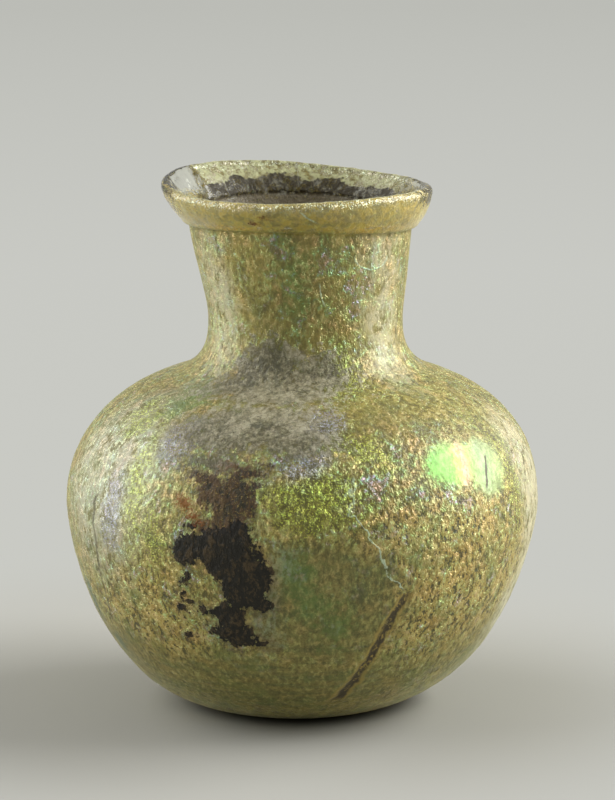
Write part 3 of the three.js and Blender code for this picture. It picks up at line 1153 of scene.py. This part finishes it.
def buildStage():
    near, far = stageLook["paintedShadowUnderJar"], stageLook["further"]
    material = bpy.data.materials.new("pale_floor")
    s = Shader(material)
    place = s.add("TexCoord", output="Object")
    fromJar = s.vector("LENGTH", place)
    away = s.vector("LENGTH", s.vector("ADD", place, (far["leftwards"], 0, 0)))
    # painted shadow: the floor darkened close round the jar's foot
    shaded = s.mix(s.rise(fromJar, near["from"], near["to"]), near["dark"], near["pale"])
    dusty = {"Base Color": shaded, "Roughness": 0.9, "Specular IOR Level": 0.1}
    floor = s.add("BsdfPrincipled", None, dusty)
    glow = s.add("Emission", None, {"Color": s.ramp(away, *stageLook["evenly"]), "Strength": 1})
    s.finish(s.add("MixShader", None, {0: s.rise(away, far["from"], far["to"]), 1: floor, 2: glow}))
    bpy.ops.mesh.primitive_circle_add(vertices=96, radius=stageLook["radius"], fill_type="NGON")
    ground = bpy.context.object
    ground.name = "floor"
    ground.data.materials.append(material)


# A softbox on the right and a broad reflector on the left, both a little behind, and a pale surround.
# Angles are in degrees, from the front towards the right and up, and lengths in metres.
lightLook = {
    "softbox": {"azimuth": 100, "elevation": 27, "away": 0.7, "size": 0.6, "radiance": 7.0},
    "reflector": {"azimuth": -98, "elevation": 28, "away": 0.8, "size": 1.0, "radiance": 2.6},
}
surround = {"before": (0.17, 0.17, 0.16), "behind": (0.5, 0.5, 0.48)}
jarMiddle = (0, 0, 0.04)


def buildLights():
    for name, look in lightLook.items():
        a, e = math.radians(look["azimuth"]), math.radians(look["elevation"])
        lamp = bpy.data.lights.new(name, "AREA")
        lamp.shape = "SQUARE"
        lamp.size = look["size"]
        lamp.energy = look["radiance"] * math.pi * look["size"] ** 2
        holder = linked(name, lamp)
        way = Vector((math.sin(a) * math.cos(e), -math.cos(a) * math.cos(e), math.sin(e)))
        holder.location = Vector(jarMiddle) + way * look["away"]
        holder.rotation_mode = "QUATERNION"
        holder.rotation_quaternion = (-way).to_track_quat("-Z", "Y")


def buildSurround():
    world = bpy.data.worlds.new("surround")
    s = Shader(world)
    way = s.add("TexCoord", output="Generated")
    backwards = s.add("SeparateXYZ", None, {"Vector": way}, "Y")
    behind = s.add("MapRange", None, {"Value": backwards, "From Min": -1})
    colour = s.mix(behind, surround["before"], surround["behind"])
    s.finish(s.add("Background", None, {"Color": colour}), "OutputWorld")
    bpy.context.scene.world = world


# The camera stands where the photo's did: 640 mm off, looking 12 degrees down, through a long lens.
cameraLook = {
    "distance": 0.64,
    "down": 12,
    "aimedAt": jarMiddle,
    "pixelsPerMm": 6.54,
    "aimPixel": (302.5, 441.9),
    "frame": (615, 800),
}


def buildCamera():
    look = cameraLook
    width, height = look["frame"]
    focal = look["pixelsPerMm"] * look["distance"] / mm
    lens = bpy.data.cameras.new("camera")
    lens.lens = focal * lens.sensor_width / height
    camera = linked("camera", lens)
    down = math.radians(look["down"])
    forward = Vector((0, math.cos(down), -math.sin(down)))
    camera.location = Vector(look["aimedAt"]) - forward * look["distance"]
    # turned a little so that the aimed point lands at its pixel
    right = math.atan2(width / 2 - look["aimPixel"][0], focal)
    up = math.atan2(look["aimPixel"][1] - height / 2, focal)
    pitch = Matrix.Rotation(math.radians(90) - down + up, 4, "X")
    yaw = Matrix.Rotation(-right, 4, "Z")
    camera.matrix_world = Matrix.Translation(camera.location) @ yaw @ pitch
    bpy.context.scene.camera = camera


buildStage()
buildLights()
buildSurround()
buildCamera()
bpy.context.scene.view_settings.view_transform = "Standard"
print("stage, lights and camera ready")

jar = buildJar()
jar.data.materials.append(weatheredGlass())
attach(jar, "root")
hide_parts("jar")
print("jar dressed")
